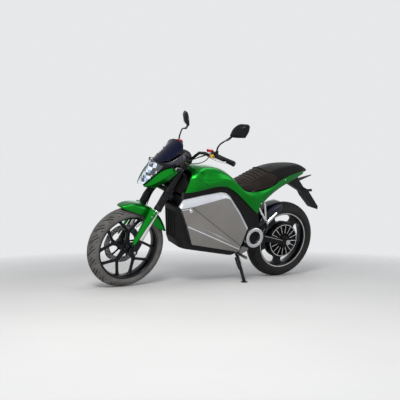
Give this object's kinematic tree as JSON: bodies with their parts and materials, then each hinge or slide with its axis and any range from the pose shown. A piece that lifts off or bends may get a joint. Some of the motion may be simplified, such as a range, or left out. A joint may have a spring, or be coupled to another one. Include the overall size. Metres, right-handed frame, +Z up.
{
  "type": "electric motorcycle",
  "caption": "Electric street motorcycle leaning on its side stand, with finned hub motor, green bodywork, silver side covers and upside-down fork.",
  "frame": {"origin": "middle of the box's floor, on the ground the parked motorcycle stands on", "axes": "+X ahead, +Y to the rider's left, +Z up; the machine leans 13 degrees to the left on its side stand with the steering 7 degrees left"},
  "size_m": [1.9724, 0.8262, 1.3272],
  "materials": {
    "green_paint": "gloss",
    "silver_paint": "satin",
    "black_frame": "satin",
    "black_rims": "gloss",
    "black_plastic": "matte",
    "gloss_plastic": "gloss",
    "tyre_rubber": "matte",
    "hose_rubber": "matte",
    "bare_alloy": "satin",
    "bare_steel": "satin",
    "seat_brown": "matte",
    "seat_black": "matte",
    "clear_lens": "clear",
    "tinted_screen": "tinted",
    "red_lens": "gloss"
  },
  "bodies": {
    "bike": {"battery": "black_plastic", "battery_cowl": "black_plastic", "flank_left": "green_paint", "flank_right": "green_paint", "frame": "black_frame", "hugger": "gloss_plastic", "passenger_peg_left": "bare_alloy", "passenger_peg_right": "bare_alloy", "pivot_ring_left": "bare_alloy", "pivot_ring_right": "bare_alloy", "rear_axle": "bare_steel", "rear_caliper": "bare_alloy", "rear_mudguard": "black_plastic", "rear_shock": "bare_steel", "rider_peg_left": "bare_alloy", "rider_peg_right": "bare_alloy", "seat_passenger": "seat_black", "seat_rider": "seat_brown", "side_cover_left": "silver_paint", "side_cover_right": "silver_paint", "swingarm": "black_frame", "tail_lamp": "red_lens", "tank_cover": "green_paint"},
    "fork": {"chin_left": "green_paint", "chin_right": "green_paint", "fork_tube_left": "black_frame", "fork_tube_right": "black_frame", "fork_yokes": "black_frame", "front_axle": "bare_steel", "front_brake_hose": "hose_rubber", "front_caliper": "bare_alloy", "front_mudguard": "green_paint", "handlebar": "black_frame", "instrument_pod": "black_plastic", "lamp_housing": "black_plastic", "lamp_lens": "clear_lens", "lever_set_left": "bare_alloy", "lever_set_right": "bare_alloy", "mirror_left": "gloss_plastic", "mirror_right": "gloss_plastic", "stanchion_left": "bare_alloy", "stanchion_right": "bare_alloy", "windscreen": "tinted_screen"},
    "front_wheel": {"front_disc": "bare_steel", "front_rim": "black_rims", "front_tyre": "tyre_rubber"},
    "rear_wheel": {"rear_disc": "bare_steel", "rear_motor": "black_rims", "rear_rim": "black_rims", "rear_tyre": "tyre_rubber"},
    "stand_leg": {"side_stand": "black_frame"}
  },
  "joints": [
    {"name": "steering", "type": "hinge", "parent": "bike", "child": "fork", "pos_m": [0.66148, -0.16859, 0.26838], "axis": [-0.4527, 0.2004, 0.8688], "range_deg": [-42.2, 27.8]},
    {"name": "front_wheel_spin", "type": "hinge", "parent": "fork", "child": "front_wheel", "pos_m": [0.69509, -0.1601, 0.28394], "axis": [-0.1121, 0.9539, -0.2785], "continuous": true},
    {"name": "rear_wheel_spin", "type": "hinge", "parent": "bike", "child": "rear_wheel", "pos_m": [-0.65461, -0.15998, 0.30762], "axis": [-0.0003, 0.9744, -0.225], "continuous": true},
    {"name": "side_stand_fold", "type": "hinge", "parent": "bike", "child": "stand_leg", "pos_m": [-0.19282, -0.08586, 0.20566], "axis": [0.0007, 0.8781, 0.4785], "range_deg": [0, 90]}
  ]
}
